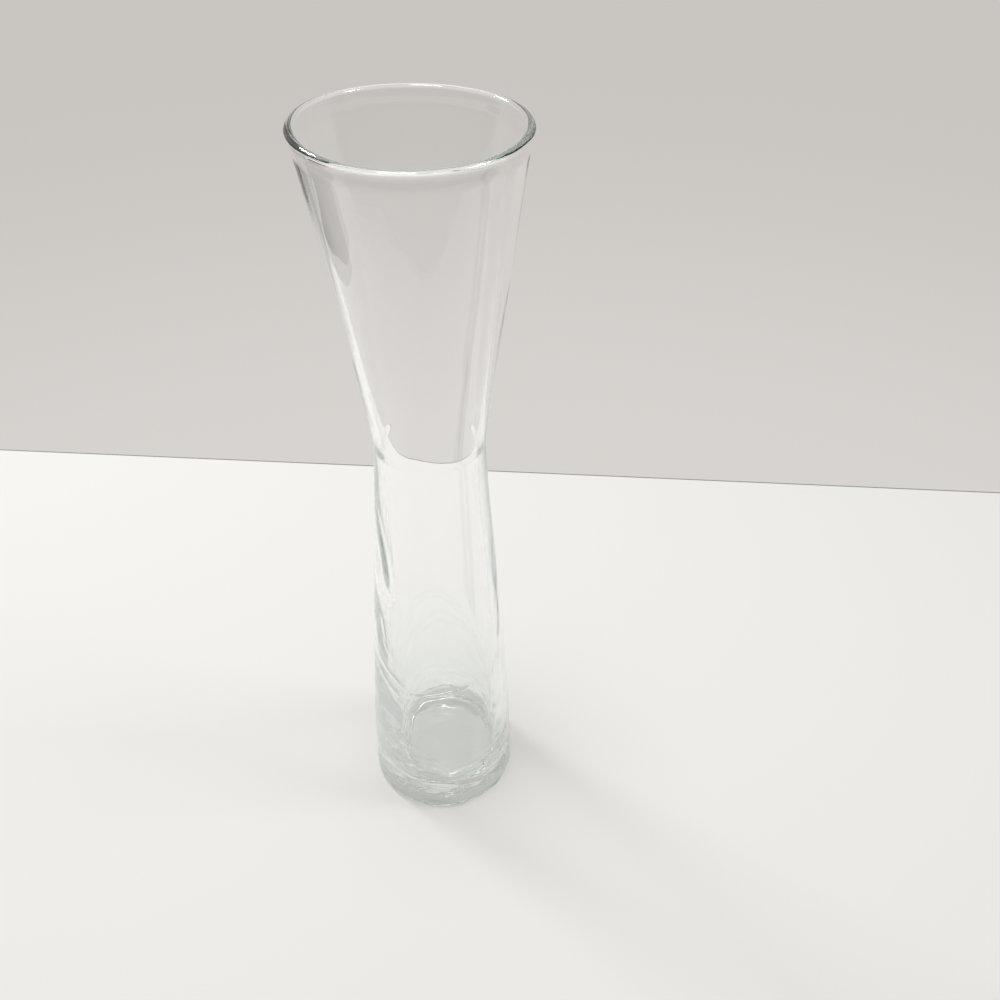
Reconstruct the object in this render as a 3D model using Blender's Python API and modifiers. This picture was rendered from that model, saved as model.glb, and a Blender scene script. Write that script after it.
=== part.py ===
"""A clear glass bud vase: a flared mouth, a narrow waist and a thick round foot.

The whole vase is one gather of soda-lime glass, blown and pressed in a mould and
fire-polished at the lip, so it is one solid. The model stands on the plane z = 0
with its axis on +Z, and every size is in metres.
"""
import math

import bpy

# Overall form, measured on the outside of the glass
HEIGHT = 0.252
MOUTH_RADIUS = 0.0305
WAIST_RADIUS = 0.0171
WAIST_HEIGHT = 0.156
FOOT_RADIUS = 0.0265

# How the outline leaves its three fixed points: handle lengths and side slopes
FOOT_HANDLE = 0.070
FOOT_SLOPE = 0.035
WAIST_HANDLE_BELOW = 0.023
WAIST_HANDLE_ABOVE = 0.006
MOUTH_HANDLE = 0.020
MOUTH_SLOPE = 0.200

# Thickness of the glass; the cavity's waist sits a little lower than the outside's
LIP_THICKNESS = 0.0024
WAIST_WALL = 0.0026
FOOT_WALL = 0.0070
FLOOR_THICKNESS = 0.0125
WAIST_DROP = 0.0018

# Foot: short rounded heel, flat standing ring and the hollow pushed up under the floor
HEEL_HEIGHT = 0.0020
RING_RADIUS = 0.0246
RING_WIDTH = 0.0020
PUSH_UP = 0.0045

# Cavity: how its side leaves the waist and the foot, so that the wall stays thin
# between them, and the curve between its side and its floor
CAVITY_HANDLE_BELOW = 0.035
CAVITY_FOOT_HANDLE = 0.035
CAVITY_FOOT_BULGE = 0.0025
CORNER_WIDTH = 0.0030
CORNER_HEIGHT = 0.0035
CORNER_HANDLE = 0.0015

# Fineness of the turned surface
TURN_STEPS = 64
LONG_CURVE_STEPS = 10
SHORT_CURVE_STEPS = 5
LIP_STEPS = 6
MERGE_DISTANCE = 0.00001

GLASS_COLOUR = (0.86, 0.93, 0.91, 1.0)
GLASS_ROUGHNESS = 0.03
GLASS_IOR = 1.52


def clear_scene():
    for old in list(bpy.data.objects):
        bpy.data.objects.remove(old, do_unlink=True)


def bezier(start, start_handle, end_handle, end, steps):
    """Points of a cubic curve after its start, up to and with its end."""
    points = []
    for i in range(1, steps + 1):
        t = i / steps
        s = 1 - t
        weights = (s ** 3, 3 * s * s * t, 3 * s * t * t, t ** 3)
        corners = (start, start_handle, end_handle, end)
        radius = sum(w * p[0] for w, p in zip(weights, corners))
        height = sum(w * p[1] for w, p in zip(weights, corners))
        points.append((radius, height))
    return points


def arc(centre, width, height, from_angle, to_angle, steps):
    """Points of an elliptical arc after its start, up to and with its end."""
    points = []
    for i in range(1, steps + 1):
        angle = from_angle + (to_angle - from_angle) * i / steps
        points.append((centre[0] + width * math.cos(angle), centre[1] + height * math.sin(angle)))
    return points


def side_down(mouth, waist, below_waist, foot_handle, foot):
    """The side of the glass from the mouth past the waist to the foot."""
    mouth_handle = (mouth[0] - MOUTH_SLOPE * MOUTH_HANDLE, mouth[1] - MOUTH_HANDLE)
    above_waist = (waist[0], waist[1] + WAIST_HANDLE_ABOVE)
    upper = bezier(mouth, mouth_handle, above_waist, waist, LONG_CURVE_STEPS)
    lower = bezier(waist, below_waist, foot_handle, foot, LONG_CURVE_STEPS)
    return upper + lower


def vase_profile():
    """The half section, from the middle of the cavity's floor over the lip to the underside."""
    lip_radius = LIP_THICKNESS / 2
    lip_height = HEIGHT - lip_radius

    # The cavity's own three points keep the wall's thickness inside the outer ones
    inner_mouth = (MOUTH_RADIUS - LIP_THICKNESS, lip_height)
    inner_waist = (WAIST_RADIUS - WAIST_WALL, WAIST_HEIGHT - WAIST_DROP)
    inner_below = (inner_waist[0], inner_waist[1] - CAVITY_HANDLE_BELOW)
    inner_foot = (FOOT_RADIUS - FOOT_WALL, FLOOR_THICKNESS + CORNER_HEIGHT)
    inner_rise = (inner_foot[0] + CAVITY_FOOT_BULGE, inner_foot[1] + CAVITY_FOOT_HANDLE)
    inner_down = [inner_mouth] + side_down(inner_mouth, inner_waist, inner_below, inner_rise, inner_foot)

    floor_edge = (inner_foot[0] - CORNER_WIDTH, FLOOR_THICKNESS)
    corner_side = (inner_foot[0], inner_foot[1] - CORNER_HANDLE)
    corner_floor = (floor_edge[0] + CORNER_HANDLE, FLOOR_THICKNESS)
    corner = bezier(inner_foot, corner_side, corner_floor, floor_edge, SHORT_CURVE_STEPS)
    floor_centre = (0.0, FLOOR_THICKNESS)
    inside = [floor_centre] + list(reversed(inner_down + corner))

    lip_centre = (MOUTH_RADIUS - lip_radius, lip_height)
    lip = arc(lip_centre, lip_radius, lip_radius, math.pi, 0, LIP_STEPS)

    outer_mouth = lip[-1]
    outer_waist = (WAIST_RADIUS, WAIST_HEIGHT)
    outer_below = (WAIST_RADIUS, WAIST_HEIGHT - WAIST_HANDLE_BELOW)
    outer_foot = (FOOT_RADIUS, HEEL_HEIGHT)
    outer_rise = (FOOT_RADIUS - FOOT_SLOPE * FOOT_HANDLE, HEEL_HEIGHT + FOOT_HANDLE)
    outer_down = side_down(outer_mouth, outer_waist, outer_below, outer_rise, outer_foot)

    heel_centre = (RING_RADIUS, HEEL_HEIGHT)
    heel_width = FOOT_RADIUS - RING_RADIUS
    heel = arc(heel_centre, heel_width, HEEL_HEIGHT, 0, -math.pi / 2, SHORT_CURVE_STEPS)

    ring_inner = RING_RADIUS - RING_WIDTH
    hollow = arc((0.0, 0.0), ring_inner, PUSH_UP, 0, math.pi / 2, SHORT_CURVE_STEPS)
    underside = [(ring_inner, 0.0)] + hollow[:-1] + [(0.0, PUSH_UP)]

    return inside + lip + outer_down + heel + underside


def glass_material():
    material = bpy.data.materials.new("clear_glass")
    material.use_nodes = True
    shader = material.node_tree.nodes["Principled BSDF"]
    shader.inputs["Base Color"].default_value = GLASS_COLOUR
    shader.inputs["Roughness"].default_value = GLASS_ROUGHNESS
    shader.inputs["IOR"].default_value = GLASS_IOR
    shader.inputs["Transmission Weight"].default_value = 1.0
    return material


def glass_vase(collection):
    """The half section turned once round the vase's axis."""
    profile = vase_profile()
    mesh = bpy.data.meshes.new("glass_vase")
    vertices = [(radius, 0.0, height) for radius, height in profile]
    edges = [(i, i + 1) for i in range(len(vertices) - 1)]
    mesh.from_pydata(vertices, edges, [])
    vase = bpy.data.objects.new("glass_vase", mesh)
    collection.objects.link(vase)

    turn = vase.modifiers.new("Turn", "SCREW")
    turn.axis = "Z"
    turn.angle = 2 * math.pi
    turn.steps = TURN_STEPS
    turn.render_steps = TURN_STEPS
    turn.use_merge_vertices = True
    turn.merge_threshold = MERGE_DISTANCE
    turn.use_smooth_shade = True

    mesh.materials.append(glass_material())
    return vase


def build():
    clear_scene()
    collection = bpy.data.collections.new("bud_vase")
    bpy.context.scene.collection.children.link(collection)
    glass_vase(collection)


build()
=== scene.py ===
import math

import bmesh
import bpy
from mathutils import Matrix, Vector, noise


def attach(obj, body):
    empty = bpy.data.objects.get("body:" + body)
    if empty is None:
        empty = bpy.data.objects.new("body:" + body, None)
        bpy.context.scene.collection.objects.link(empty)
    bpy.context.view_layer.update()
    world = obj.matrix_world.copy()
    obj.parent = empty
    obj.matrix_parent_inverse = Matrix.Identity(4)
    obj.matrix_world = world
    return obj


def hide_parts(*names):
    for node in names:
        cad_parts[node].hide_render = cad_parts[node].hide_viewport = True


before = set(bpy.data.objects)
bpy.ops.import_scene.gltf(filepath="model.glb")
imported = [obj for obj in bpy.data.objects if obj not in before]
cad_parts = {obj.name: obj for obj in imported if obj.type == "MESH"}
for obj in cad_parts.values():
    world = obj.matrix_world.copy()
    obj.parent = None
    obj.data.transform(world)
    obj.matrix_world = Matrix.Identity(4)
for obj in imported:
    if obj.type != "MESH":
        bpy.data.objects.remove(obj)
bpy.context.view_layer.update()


# Glass vase
# The whole vase is one gather of clear soda-lime glass, blown into a turned mould,
# cut from the pipe and fire-polished at the lip. The foot keeps the most glass, so
# the cavity sits a little off centre there and its wall is uneven and rippled.
VASE_HEIGHT = 0.252
MOUTH_RADIUS = 0.0305
WAIST_RADIUS = 0.0171
WAIST_HEIGHT = 0.156
FOOT_RADIUS = 0.0265

# Thickness of the glass, the cavity's flat floor and the tight curve round it
LIP_THICKNESS = 0.0024
WAIST_WALL = 0.0026
FOOT_WALL = 0.0070
FLOOR_THICKNESS = 0.0125
WAIST_DROP = 0.0018
FLOOR_RADIUS = 0.0165
FLOOR_PULL = 0.0015
FLOOR_RINGS = (0.8, 0.6, 0.4, 0.2)
CORNER_TOP = 0.0160
CORNER_PULL = 0.0015

# Heel, standing ring and the hollow pushed up under the floor
HEEL_HEIGHT = 0.0020
RING_OUTER = 0.0246
RING_INNER = 0.0226
PUSH_UP = 0.0045

# How far the curve of each side is pulled along its slope at the mouth, waist and foot
MOUTH_PULL = (-0.0040, -0.020)
ABOVE_WAIST_PULL = 0.006
OUTER_WAIST_PULL = 0.023
OUTER_FOOT_PULL = (-0.00245, 0.070)
CAVITY_WAIST_PULL = 0.035
CAVITY_FOOT_PULL = (0.0025, 0.035)

# The fire-polished lip is a soft bead, a little flatter than round on its outer
# shoulder, and the wall just under it is thinner on both faces
SHOULDER_OUT = 1.25
SHOULDER_UP = 1.2
BEAD_INSIDE = 0.00055
BEAD_OUTSIDE = 0.00020
BEAD_HEIGHT = 0.0027
BEAD_FADE = 0.030

# The soft mouth settled a little to one side while the glass cooled, and its rim
# dips: waves round the rim, and the part of each along the cosine and the sine
SETTLE_START = 0.205
MOUTH_SHIFT = (-0.0009, 0.0005)
MOUTH_DIPS = ((0, -0.0004, 0.0), (1, -0.0003, -0.0004), (2, 0.0004, 0.0))

# How far the cavity leans off the axis at the foot, and the height where it is true again
CAVITY_LEAN = (0.0014, 0.0)
LEAN_TOP = 0.115

# The cavity's floor tips towards the front, and its glass is faintly mottled
FLOOR_TIP = 0.15
TIP_START = 0.045
MOTTLE_DEPTH = 0.00010
MOTTLE_SIZE = 0.008
MOTTLE_TOP = 0.090

# Ripples that the mould left round the foot and under it
RIPPLE_DEPTH = 0.00080
RIPPLE_SIZE = 0.0065
RIPPLE_CLOSE = 4.0
RIPPLE_TOP = 0.030

# Uneven wall: angle in degrees from +X, height, turn per metre of height, spread
# round, spread up and depth
THICK_SPOTS = (
    (196, 0.116, -830, 15, 0.013, 0.0021),
    (190, 0.078, -400, 14, 0.010, 0.0010),
    (350, 0.062, 400, 15, 0.026, 0.0007),
)

# Wrinkles chilled into the cavity: from and to angle, heights at both, width and depth
WRINKLES = (
    (160, 240, 0.074, 0.060, 0.0008, 0.00013),
    (165, 235, 0.067, 0.054, 0.0008, 0.00010),
    (225, 310, 0.057, 0.063, 0.0006, 0.00007),
)

# Fineness of the turned surface, closer below the waist where the ripples are
ROUND_STEPS = 256
STEPS_ABOVE = 70
STEPS_BELOW = 230
CORNER_STEPS = 40
LIP_STEPS = 32
FOOT_STEPS = 12


def curve(start, start_handle, end_handle, end, steps):
    """Points of a cubic curve after its start, up to and with its end."""
    points = []
    corners = (start, start_handle, end_handle, end)
    for i in range(1, steps + 1):
        t = i / steps
        s = 1 - t
        weights = (s ** 3, 3 * s * s * t, 3 * s * t * t, t ** 3)
        points.append(tuple(sum(w * p[k] for w, p in zip(weights, corners)) for k in (0, 1)))
    return points


def arc(centre, width, height, from_angle, to_angle, steps):
    """Points of an oval arc after its start, up to and with its end."""
    points = []
    for i in range(1, steps + 1):
        angle = from_angle + (to_angle - from_angle) * i / steps
        points.append((centre[0] + width * math.cos(angle), centre[1] + height * math.sin(angle)))
    return points


def pulled(point, pull):
    return point[0] + pull[0], point[1] + pull[1]


def side(mouth, waist, foot, waist_pull, foot_pull):
    """One face of the wall, from the mouth past the waist to the foot."""
    above_waist = pulled(waist, (0.0, ABOVE_WAIST_PULL))
    below_waist = pulled(waist, (0.0, -waist_pull))
    upper = curve(mouth, pulled(mouth, MOUTH_PULL), above_waist, waist, STEPS_ABOVE)
    lower = curve(waist, below_waist, pulled(foot, foot_pull), foot, STEPS_BELOW)
    return upper + lower


lip_radius = LIP_THICKNESS / 2
lip_height = VASE_HEIGHT - lip_radius
lip_middle = MOUTH_RADIUS - lip_radius

inner_mouth = (MOUTH_RADIUS - LIP_THICKNESS, lip_height)
inner_waist = (WAIST_RADIUS - WAIST_WALL, WAIST_HEIGHT - WAIST_DROP)
inner_foot = (FOOT_RADIUS - FOOT_WALL, CORNER_TOP)
inner_side = side(inner_mouth, inner_waist, inner_foot, CAVITY_WAIST_PULL, CAVITY_FOOT_PULL)
floor_edge = (FLOOR_RADIUS, FLOOR_THICKNESS)
corner_side = pulled(inner_foot, (0.0, -CORNER_PULL))
corner_floor = pulled(floor_edge, (FLOOR_PULL, 0.0))
corner = curve(inner_foot, corner_side, corner_floor, floor_edge, CORNER_STEPS)
floor_rings = [(FLOOR_RADIUS * share, FLOOR_THICKNESS) for share in FLOOR_RINGS]
cavity = list(reversed([inner_mouth] + inner_side + corner + floor_rings))


def shoulder(radius, height):
    """Outside its middle the lip is a little flatter than round."""
    if radius <= lip_middle:
        return radius, height
    out = (radius - lip_middle) / lip_radius
    up = max(height - lip_height, 0.0) / lip_radius
    out, up = out ** SHOULDER_OUT, up ** SHOULDER_UP
    return lip_middle + lip_radius * out, lip_height + lip_radius * up


round_lip = arc((lip_middle, lip_height), lip_radius, lip_radius, math.pi, 0, LIP_STEPS)
lip = [shoulder(*point) for point in round_lip]

outer_waist = (WAIST_RADIUS, WAIST_HEIGHT)
outer_foot = (FOOT_RADIUS, HEEL_HEIGHT)
outside = side(lip[-1], outer_waist, outer_foot, OUTER_WAIST_PULL, OUTER_FOOT_PULL)

heel_width = FOOT_RADIUS - RING_OUTER
heel = arc((RING_OUTER, HEEL_HEIGHT), heel_width, HEEL_HEIGHT, 0, -math.pi / 2, FOOT_STEPS)
hollow = arc((0, 0), RING_INNER, PUSH_UP, 0, math.pi / 2, FOOT_STEPS)
underside = [(RING_INNER, 0.0)] + hollow[:-1]


def eased(share):
    """A share of 0 to 1 that starts and ends softly."""
    share = min(max(share, 0.0), 1.0)
    return share * share * (3 - 2 * share)


def turned(radius, angle):
    return radius * math.cos(angle), radius * math.sin(angle)


def bead_cut(height):
    """How much of the bead's depth the wall lacks at this height."""
    below = max(lip_height - height, 0.0)
    return (1 - math.exp(-((below / BEAD_HEIGHT) ** 4))) * math.exp(-below / BEAD_FADE)


def swell(angle, height):
    total = 0.0
    for at_angle, at_height, slant, spread, rise, depth in THICK_SPOTS:
        above = height - at_height
        turn = (math.degrees(angle) - at_angle - slant * above + 180) % 360 - 180
        total += depth * math.exp(-((turn / spread) ** 2) - (above / rise) ** 2)
    return total


def wrinkle(angle, height):
    total = 0.0
    for first, last, first_height, last_height, width, depth in WRINKLES:
        along = ((math.degrees(angle) - first) % 360) / (last - first)
        if along < 1:
            line = first_height + (last_height - first_height) * along
            fade = math.sin(math.pi * along) ** 0.5
            total += depth * fade * math.exp(-(((height - line) / width) ** 2))
    return total


def mottle(radius, height, angle):
    spot = Vector((*turned(radius, angle), height)) / MOTTLE_SIZE
    near_foot = min(max(1 - height / MOTTLE_TOP, 0.0) * 2, 1.0)
    return MOTTLE_DEPTH * noise.noise(spot) * near_foot


def ripple(radius, height, angle):
    spot = Vector((*turned(radius, angle), RIPPLE_CLOSE * height)) / RIPPLE_SIZE
    return RIPPLE_DEPTH * (1 + noise.noise(spot)) / 2


def settle(x, y, height):
    share = eased((height - SETTLE_START) / (VASE_HEIGHT - SETTLE_START))
    angle = math.atan2(y, x)
    rise = 0.0
    for waves_round, cosine, sine in MOUTH_DIPS:
        rise += cosine * math.cos(waves_round * angle) + sine * math.sin(waves_round * angle)
    return x + MOUTH_SHIFT[0] * share, y + MOUTH_SHIFT[1] * share, height + rise * share


def inside_point(radius, height, angle):
    """A point of the cavity, with all that is uneven in it."""
    edge = min(radius / WAIST_RADIUS, 1.0) ** 2
    spots = mottle(radius, height, angle)
    uneven = swell(angle, height) + wrinkle(angle, height) + spots
    radius += BEAD_INSIDE * bead_cut(height) - edge * uneven
    leaning = eased(1 - height / LEAN_TOP)
    x, y = turned(radius, angle)
    x += CAVITY_LEAN[0] * leaning
    y += CAVITY_LEAN[1] * leaning
    tip = eased((TIP_START - height) / (TIP_START - CORNER_TOP))
    height += FLOOR_TIP * y * tip + (1 - edge) * spots
    return settle(x, y, height)


def outside_point(radius, height, angle):
    near_foot = eased(1 - max(height - HEEL_HEIGHT, 0.0) / RIPPLE_TOP)
    radius -= BEAD_OUTSIDE * bead_cut(height) + ripple(radius, height, angle) * near_foot
    return settle(*turned(radius, angle), height)


def under_point(radius, height, angle):
    wave = ripple(radius, height, angle)
    height += wave * min((FOOT_RADIUS - radius) / heel_width, 1.0)
    radius -= wave * min(radius / RING_INNER, 1.0)
    return (*turned(radius, angle), height)


def lip_point(radius, height, angle):
    return settle(*turned(radius, angle), height)


skin = bmesh.new()
rings = []
angles = [2 * math.pi * step / ROUND_STEPS for step in range(ROUND_STEPS)]
bands = (
    (cavity, inside_point),
    (lip, lip_point),
    (outside, outside_point),
    (heel + underside, under_point),
)
for band, place in bands:
    for radius, height in band:
        rings.append([skin.verts.new(place(radius, height, angle)) for angle in angles])

neighbours = [(step, (step + 1) % ROUND_STEPS) for step in range(ROUND_STEPS)]
for upper_ring, lower_ring in zip(rings, rings[1:]):
    for here, beside in neighbours:
        corners = (upper_ring[here], lower_ring[here], lower_ring[beside], upper_ring[beside])
        skin.faces.new(corners)
floor_middle = skin.verts.new(inside_point(0.0, FLOOR_THICKNESS, 0.0))
under_middle = skin.verts.new((0, 0, PUSH_UP))
for here, beside in neighbours:
    skin.faces.new((floor_middle, rings[0][here], rings[0][beside]))
    skin.faces.new((under_middle, rings[-1][beside], rings[-1][here]))
bmesh.ops.recalc_face_normals(skin, faces=skin.faces[:])

vase_mesh = bpy.data.meshes.new("vase_glass")
skin.to_mesh(vase_mesh)
skin.free()
vase_mesh.shade_smooth()
vase = bpy.data.objects.new("vase_glass", vase_mesh)
bpy.context.scene.collection.objects.link(vase)

# Surface: the green of the thick foot and a painted shade that greys the heel, with the heights
# where each fades out and is full, then the smudges and the slow waves
CLEAR = (1.0, 1.0, 1.0, 1.0)
FOOT_TINT = (0.952, 0.975, 0.964, 1.0)
FOOT_TINT_TOP = 0.10
FOOT_TINT_FULL = 0.02
# Grey of the painted shade on the heel, and the heights where it fades out and is full
HEEL_PAINTED_SHADE = (0.66, 0.69, 0.67, 1.0)
HEEL_SHADE_TOP = 0.018
HEEL_SHADE_FULL = 0.005
SMUDGE_SCALE = 60.0
SMUDGE_DETAIL = 4.0
SMUDGE_START = 0.58
SMUDGE_FULL = 0.80
SMUDGE_ROUGHNESS = 0.03
WAVE_SCALE = 90.0
WAVE_DETAIL = 1.0
WAVE_STRETCH = (1.0, 1.0, 0.25)
WAVE_DEPTH = 0.00020


def handled_glass():
    """Blown glass in use: a greener foot, painted shade on the heel, a few finger smudges and
    slow waves.
    """
    group = bpy.data.node_groups.new("handled_glass", "ShaderNodeTree")
    group.interface.new_socket("Tint", in_out="OUTPUT", socket_type="NodeSocketColor")
    group.interface.new_socket("Smudges", in_out="OUTPUT", socket_type="NodeSocketFloat")
    group.interface.new_socket("Waves", in_out="OUTPUT", socket_type="NodeSocketFloat")
    inner = group.nodes
    joins = group.links
    out = inner.new("NodeGroupOutput")
    place = inner.new("ShaderNodeTexCoord")
    parts = inner.new("ShaderNodeSeparateXYZ")
    joins.new(place.outputs["Object"], parts.inputs[0])

    def ranged(value, start, full, kind="LINEAR"):
        ramp = inner.new("ShaderNodeMapRange")
        ramp.interpolation_type = kind
        ramp.inputs["From Min"].default_value = start
        ramp.inputs["From Max"].default_value = full
        joins.new(value, ramp.inputs["Value"])
        return ramp

    def tinted(share, colour):
        mix = inner.new("ShaderNodeMix")
        mix.data_type = "RGBA"
        mix.inputs[6].default_value = CLEAR
        mix.inputs[7].default_value = colour
        joins.new(share, mix.inputs[0])
        return mix

    near_foot = ranged(parts.outputs["Z"], FOOT_TINT_TOP, FOOT_TINT_FULL, "SMOOTHSTEP")
    foot_tint = tinted(near_foot.outputs[0], FOOT_TINT)

    # Painted shade: low down and towards the heel's outer face the glass is greyed, standing in
    # for the shade that darkens the foot's lower band
    near_heel = ranged(parts.outputs["Z"], HEEL_SHADE_TOP, HEEL_SHADE_FULL, "SMOOTHSTEP")
    flat = inner.new("ShaderNodeVectorMath")
    flat.operation = "MULTIPLY"
    flat.inputs[1].default_value = (1.0, 1.0, 0.0)
    from_axis = inner.new("ShaderNodeVectorMath")
    from_axis.operation = "LENGTH"
    joins.new(place.outputs["Object"], flat.inputs[0])
    joins.new(flat.outputs["Vector"], from_axis.inputs[0])
    outer_face = ranged(from_axis.outputs["Value"], RING_INNER, RING_OUTER)
    heel_shade_share = inner.new("ShaderNodeMath")
    heel_shade_share.operation = "MULTIPLY"
    joins.new(near_heel.outputs[0], heel_shade_share.inputs[0])
    joins.new(outer_face.outputs[0], heel_shade_share.inputs[1])
    heel_shade = tinted(heel_shade_share.outputs[0], HEEL_PAINTED_SHADE)
    joins.new(foot_tint.outputs[2], heel_shade.inputs[6])
    joins.new(heel_shade.outputs[2], out.inputs["Tint"])

    marks = inner.new("ShaderNodeTexNoise")
    marks.inputs["Scale"].default_value = SMUDGE_SCALE
    marks.inputs["Detail"].default_value = SMUDGE_DETAIL
    joins.new(place.outputs["Object"], marks.inputs["Vector"])
    smudges = ranged(marks.outputs["Fac"], SMUDGE_START, SMUDGE_FULL)
    smudges.inputs["To Max"].default_value = SMUDGE_ROUGHNESS
    joins.new(smudges.outputs[0], out.inputs["Smudges"])

    stretch = inner.new("ShaderNodeVectorMath")
    stretch.operation = "MULTIPLY"
    stretch.inputs[1].default_value = WAVE_STRETCH
    slow = inner.new("ShaderNodeTexNoise")
    slow.inputs["Scale"].default_value = WAVE_SCALE
    slow.inputs["Detail"].default_value = WAVE_DETAIL
    depth = inner.new("ShaderNodeMath")
    depth.operation = "MULTIPLY"
    depth.inputs[1].default_value = WAVE_DEPTH
    joins.new(place.outputs["Object"], stretch.inputs[0])
    joins.new(stretch.outputs[0], slow.inputs["Vector"])
    joins.new(slow.outputs["Fac"], depth.inputs[0])
    joins.new(depth.outputs[0], out.inputs["Waves"])
    return group


# Body of the glass: how it bends light, and the green that a thick layer takes on
GLASS_IOR = 1.5
THICK_GREEN = (0.50, 0.88, 0.80, 1.0)
GREEN_DENSITY = 0.8

glass = bpy.data.materials.new("clear_glass_fine")
glass.use_nodes = True
nodes = glass.node_tree.nodes
links = glass.node_tree.links
shader = nodes["Principled BSDF"]
shader.inputs["IOR"].default_value = GLASS_IOR
shader.inputs["Transmission Weight"].default_value = 1.0
handled = nodes.new("ShaderNodeGroup")
handled.node_tree = handled_glass()
links.new(handled.outputs["Tint"], shader.inputs["Base Color"])
links.new(handled.outputs["Smudges"], shader.inputs["Roughness"])
waves = nodes.new("ShaderNodeBump")
waves.inputs["Strength"].default_value = 1.0
waves.inputs["Distance"].default_value = 1.0
links.new(handled.outputs["Waves"], waves.inputs["Height"])
links.new(waves.outputs[0], shader.inputs["Normal"])

# Lamp light that crosses the glass to the floor: almost all of it through a wall that
# faces the lamp, and less where the wall stands edge-on
LIGHT_THROUGH_FACE = (0.978, 0.978, 0.976, 1.0)
LIGHT_THROUGH_EDGE = (0.62, 0.625, 0.62, 1.0)
EDGE_SHARPNESS = 3.0

edge_on = nodes.new("ShaderNodeLayerWeight")
edge_share = nodes.new("ShaderNodeMath")
edge_share.operation = "POWER"
edge_share.inputs[1].default_value = EDGE_SHARPNESS
lamp_share = nodes.new("ShaderNodeMix")
lamp_share.data_type = "RGBA"
lamp_share.inputs[6].default_value = LIGHT_THROUGH_FACE
lamp_share.inputs[7].default_value = LIGHT_THROUGH_EDGE
let_lamps_by = nodes.new("ShaderNodeBsdfTransparent")
links.new(edge_on.outputs["Facing"], edge_share.inputs[0])
links.new(edge_share.outputs[0], lamp_share.inputs[0])
links.new(lamp_share.outputs[2], let_lamps_by.inputs["Color"])
ray_kind = nodes.new("ShaderNodeLightPath")
by_ray = nodes.new("ShaderNodeMixShader")
links.new(ray_kind.outputs["Is Shadow Ray"], by_ray.inputs[0])
links.new(shader.outputs[0], by_ray.inputs[1])
links.new(let_lamps_by.outputs[0], by_ray.inputs[2])
links.new(by_ray.outputs[0], nodes["Material Output"].inputs["Surface"])

tint = nodes.new("ShaderNodeVolumeAbsorption")
tint.inputs["Color"].default_value = THICK_GREEN
tint.inputs["Density"].default_value = GREEN_DENSITY
links.new(tint.outputs[0], nodes["Material Output"].inputs["Volume"])
vase_mesh.materials.append(glass)

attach(vase, "root")
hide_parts("glass_vase")


# Floor
# A plain pale floor, cut straight at the far side, where a thin grey strip paints the shade of
# the gap at its edge. It is painted matt, so that it shows the vase's soft shadow and no gloss.
FLOOR_COLOUR = (0.86, 0.85, 0.83, 1.0)
# Grey of the painted shade in the gap along the far edge
GAP_SHADE_COLOUR = (0.25, 0.25, 0.245, 1.0)
MATT_ROUGHNESS = 0.8
FAR_EDGE = 0.1785
FAR_EDGE_SLOPE = -0.0574
STRIP_WIDTH = 0.0007
NEAR_EDGE = -0.85
FLOOR_LEFT = -1.3
FLOOR_RIGHT = 1.3


def far_corner(x, back=0.0):
    return (x, FAR_EDGE + FAR_EDGE_SLOPE * x - back, 0.0)


def stage_piece(name, corners, faces, colours):
    """A flat painted piece of the stage, with one colour for each of its faces."""
    piece_mesh = bpy.data.meshes.new(name)
    piece_mesh.from_pydata(corners, [], faces)
    for index, colour in enumerate(colours):
        paint = bpy.data.materials.new("%s_paint_%d" % (name, index))
        paint.use_nodes = True
        paint_shader = paint.node_tree.nodes["Principled BSDF"]
        paint_shader.inputs["Base Color"].default_value = colour
        paint_shader.inputs["Roughness"].default_value = MATT_ROUGHNESS
        paint_shader.inputs["Specular IOR Level"].default_value = 0.0
        piece_mesh.materials.append(paint)
        piece_mesh.polygons[index].material_index = index
    piece = bpy.data.objects.new(name, piece_mesh)
    bpy.context.scene.collection.objects.link(piece)
    return piece


stage_piece(
    "floor",
    [
        (FLOOR_LEFT, NEAR_EDGE, 0.0),
        (FLOOR_RIGHT, NEAR_EDGE, 0.0),
        far_corner(FLOOR_RIGHT, STRIP_WIDTH),
        far_corner(FLOOR_LEFT, STRIP_WIDTH),
        far_corner(FLOOR_RIGHT),
        far_corner(FLOOR_LEFT),
    ],
    [(0, 1, 2, 3), (3, 2, 4, 5)],
    (FLOOR_COLOUR, GAP_SHADE_COLOUR),
)


# Black cards
# Two cards of black board lie on the floor and show only as reflections: the wide one
# at the left darkens the upper left of the bowl, the narrow one draws a streak at the
# right. A ray that has crossed both walls of the vase passes them.
CARD_COLOUR = (0.03, 0.03, 0.03, 1.0)
CARD_HEIGHT = 0.001
CARD_LEFT_CORNERS = ((-0.80, -0.04), (-0.283, -0.04), (-0.283, 0.19), (-0.80, 0.20))
CARD_RIGHT_CORNERS = ((0.12, -0.076), (0.42, -0.045), (0.42, -0.015), (0.12, -0.046))
CROSSINGS_KEPT = 3.5


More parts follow.
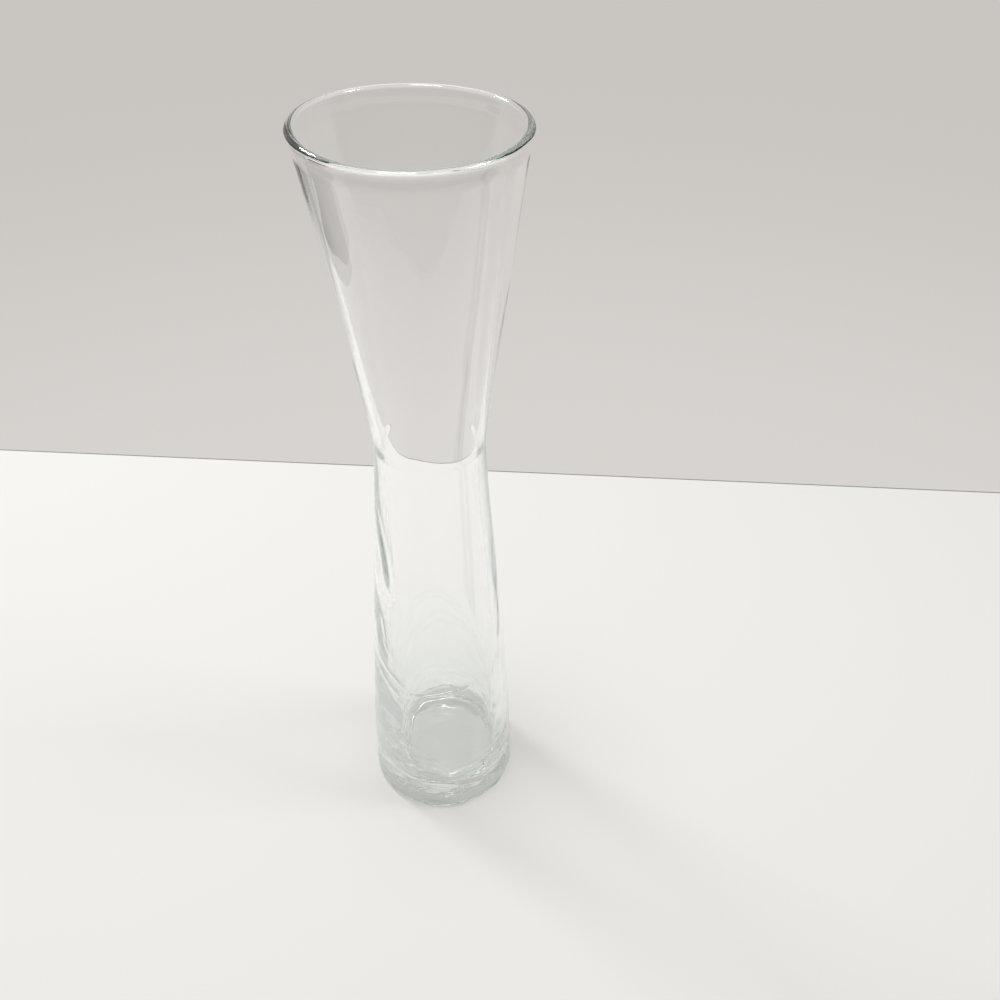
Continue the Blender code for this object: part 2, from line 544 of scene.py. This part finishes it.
def black_card(name, outline):
    corners = [(x, y, CARD_HEIGHT) for x, y in outline]
    card = stage_piece(name, corners, [(0, 1, 2, 3)], (CARD_COLOUR,))
    card.visible_camera = False
    card.visible_diffuse = False
    card.visible_shadow = False
    card_nodes = card.data.materials[0].node_tree.nodes
    card_links = card.data.materials[0].node_tree.links
    crossings = card_nodes.new("ShaderNodeLightPath")
    far_through = card_nodes.new("ShaderNodeMath")
    far_through.operation = "GREATER_THAN"
    far_through.inputs[1].default_value = CROSSINGS_KEPT
    not_there = card_nodes.new("ShaderNodeBsdfTransparent")
    card_mix = card_nodes.new("ShaderNodeMixShader")
    card_links.new(crossings.outputs["Transmission Depth"], far_through.inputs[0])
    card_links.new(far_through.outputs[0], card_mix.inputs[0])
    card_links.new(card_nodes["Principled BSDF"].outputs[0], card_mix.inputs[1])
    card_links.new(not_there.outputs[0], card_mix.inputs[2])
    card_links.new(card_mix.outputs[0], card_nodes["Material Output"].inputs["Surface"])


black_card("black_card_left", CARD_LEFT_CORNERS)
black_card("black_card_right", CARD_RIGHT_CORNERS)


# Backdrop and room
# A plain grey backdrop stands beyond the floor, with a darker room behind the camera
# and a pale ceiling. They are tones of the sky, chosen by the way that a ray goes.
ROOM_LOW = (0.07, 0.07, 0.07)
ROOM_HIGH = (0.55, 0.55, 0.54)
BACKDROP_HIGH = (0.585, 0.56, 0.535)
BACKDROP_LOW = (0.68, 0.655, 0.63)
SIDE_DARK = (0.42, 0.41, 0.40)
SIDE_PALE = (0.80, 0.79, 0.77)
CEILING = (0.70, 0.69, 0.67)

# Where one tone turns into the next: heights and depths as parts of a ray of length 1,
# and for the left end of the backdrop the angle from its middle
ROOM_RISE = (0.10, 0.60)
BACKDROP_FALL = (-0.30, -0.61)
SIDE_LINE = (-0.560, -0.548)
SIDE_TOP = (-0.40, -0.20)
BACKDROP_LEFT_END = (-0.58, -0.68)
BACKDROP_START = (-0.05, 0.15)
CEILING_START = (0.60, 0.90)

# Share of the room's light that reaches the matt floor
ROOM_ON_FLOOR = 0.30

world = bpy.data.worlds.new("studio")
world.use_nodes = True
bpy.context.scene.world = world
sky_nodes = world.node_tree.nodes
sky_links = world.node_tree.links


def fade(source, start, end):
    ramp = sky_nodes.new("ShaderNodeMapRange")
    ramp.interpolation_type = "SMOOTHSTEP"
    ramp.inputs["From Min"].default_value = start
    ramp.inputs["From Max"].default_value = end
    sky_links.new(source, ramp.inputs["Value"])
    return ramp.outputs[0]


def blend(factor, first, second):
    mix = sky_nodes.new("ShaderNodeMix")
    mix.data_type = "RGBA"
    sky_links.new(factor, mix.inputs[0])
    for socket, colour in ((mix.inputs[6], first), (mix.inputs[7], second)):
        if isinstance(colour, tuple):
            socket.default_value = (*colour, 1.0)
        else:
            sky_links.new(colour, socket)
    return mix.outputs[2]


direction = sky_nodes.new("ShaderNodeTexCoord")
split = sky_nodes.new("ShaderNodeSeparateXYZ")
sky_links.new(direction.outputs["Generated"], split.inputs[0])
level_angle = sky_nodes.new("ShaderNodeMath")
level_angle.operation = "ARCTAN2"
sky_links.new(split.outputs["X"], level_angle.inputs[0])
sky_links.new(split.outputs["Y"], level_angle.inputs[1])
rise = split.outputs["Z"]

room = blend(fade(rise, *ROOM_RISE), ROOM_LOW, ROOM_HIGH)
backdrop = blend(fade(rise, *BACKDROP_FALL), BACKDROP_HIGH, BACKDROP_LOW)
side_wall = blend(fade(rise, *SIDE_LINE), SIDE_PALE, SIDE_DARK)
side_wall = blend(fade(rise, *SIDE_TOP), side_wall, backdrop)
backdrop = blend(fade(level_angle.outputs[0], *BACKDROP_LEFT_END), backdrop, side_wall)
room = blend(fade(split.outputs["Y"], *BACKDROP_START), room, backdrop)
room = blend(fade(rise, *CEILING_START), room, CEILING)
sky_links.new(room, sky_nodes["Background"].inputs["Color"])

ray_way = sky_nodes.new("ShaderNodeLightPath")
strength = sky_nodes.new("ShaderNodeMapRange")
strength.inputs["To Min"].default_value = 1.0
strength.inputs["To Max"].default_value = ROOM_ON_FLOOR
sky_links.new(ray_way.outputs["Is Diffuse Ray"], strength.inputs["Value"])
sky_links.new(strength.outputs[0], sky_nodes["Background"].inputs["Strength"])


# Lamps
# Three square soft boxes: one nearly overhead and one at each side, further back. Each
# draws a bright point on the lip and a soft shadow, and only the one overhead sparkles
# inside the glass, so that the foot stays calm.
LAMP_AIM = (0, 0, 0.1)


def soft_lamp(name, place, width, watts, sparkles=False):
    lamp = bpy.data.lights.new(name, "AREA")
    lamp.size = width
    lamp.energy = watts
    holder = bpy.data.objects.new(name, lamp)
    holder.location = place
    towards = Vector(LAMP_AIM) - Vector(place)
    holder.rotation_euler = towards.to_track_quat("-Z", "Y").to_euler()
    holder.visible_transmission = sparkles
    bpy.context.scene.collection.objects.link(holder)


soft_lamp("lamp_above", (-0.11, 0.0, 1.15), 0.26, 4.0, sparkles=True)
soft_lamp("lamp_right", (0.62, -0.02, 1.00), 0.24, 3.5)
soft_lamp("lamp_left", (-0.70, 0.55, 0.95), 0.24, 7.2)


# Camera
# It stands 25 cm in front of the vase and 9 cm above its mouth, and looks down on it
# with a moderately wide lens. It is turned by less than half a degree about its axis.
CAMERA_PLACE = (0.02141, -0.25044, 0.34638)
CAMERA_PITCH = 0.7086
CAMERA_ROLL = 0.0069
CAMERA_LENS = 37.54
SENSOR_WIDTH = 36.0
CLIP_START = 0.01

forward = Vector((0.0, math.cos(CAMERA_PITCH), -math.sin(CAMERA_PITCH)))
level = Vector((1.0, 0.0, 0.0))
upward = level.cross(forward)
right = math.cos(CAMERA_ROLL) * level + math.sin(CAMERA_ROLL) * upward
top = -math.sin(CAMERA_ROLL) * level + math.cos(CAMERA_ROLL) * upward
facing = Matrix((right, top, -forward)).transposed().to_4x4()
camera_data = bpy.data.cameras.new("camera")
camera_data.sensor_width = SENSOR_WIDTH
camera_data.lens = CAMERA_LENS
camera_data.clip_start = CLIP_START
camera = bpy.data.objects.new("camera", camera_data)
camera.matrix_world = Matrix.Translation(CAMERA_PLACE) @ facing
bpy.context.scene.collection.objects.link(camera)
bpy.context.scene.camera = camera


# Light paths
# A ray meets many faces of glass before it leaves the foot, so it is followed for long.
# Bright specks of bent light on the floor are left to the soft shadow.
GLASS_BOUNCES = 96
CLEAR_BOUNCES = 32

scene = bpy.context.scene
scene.view_settings.view_transform = "Standard"
scene.cycles.max_bounces = GLASS_BOUNCES
scene.cycles.glossy_bounces = GLASS_BOUNCES
scene.cycles.transmission_bounces = GLASS_BOUNCES
scene.cycles.transparent_max_bounces = CLEAR_BOUNCES
scene.cycles.caustics_refractive = False
scene.cycles.caustics_reflective = False
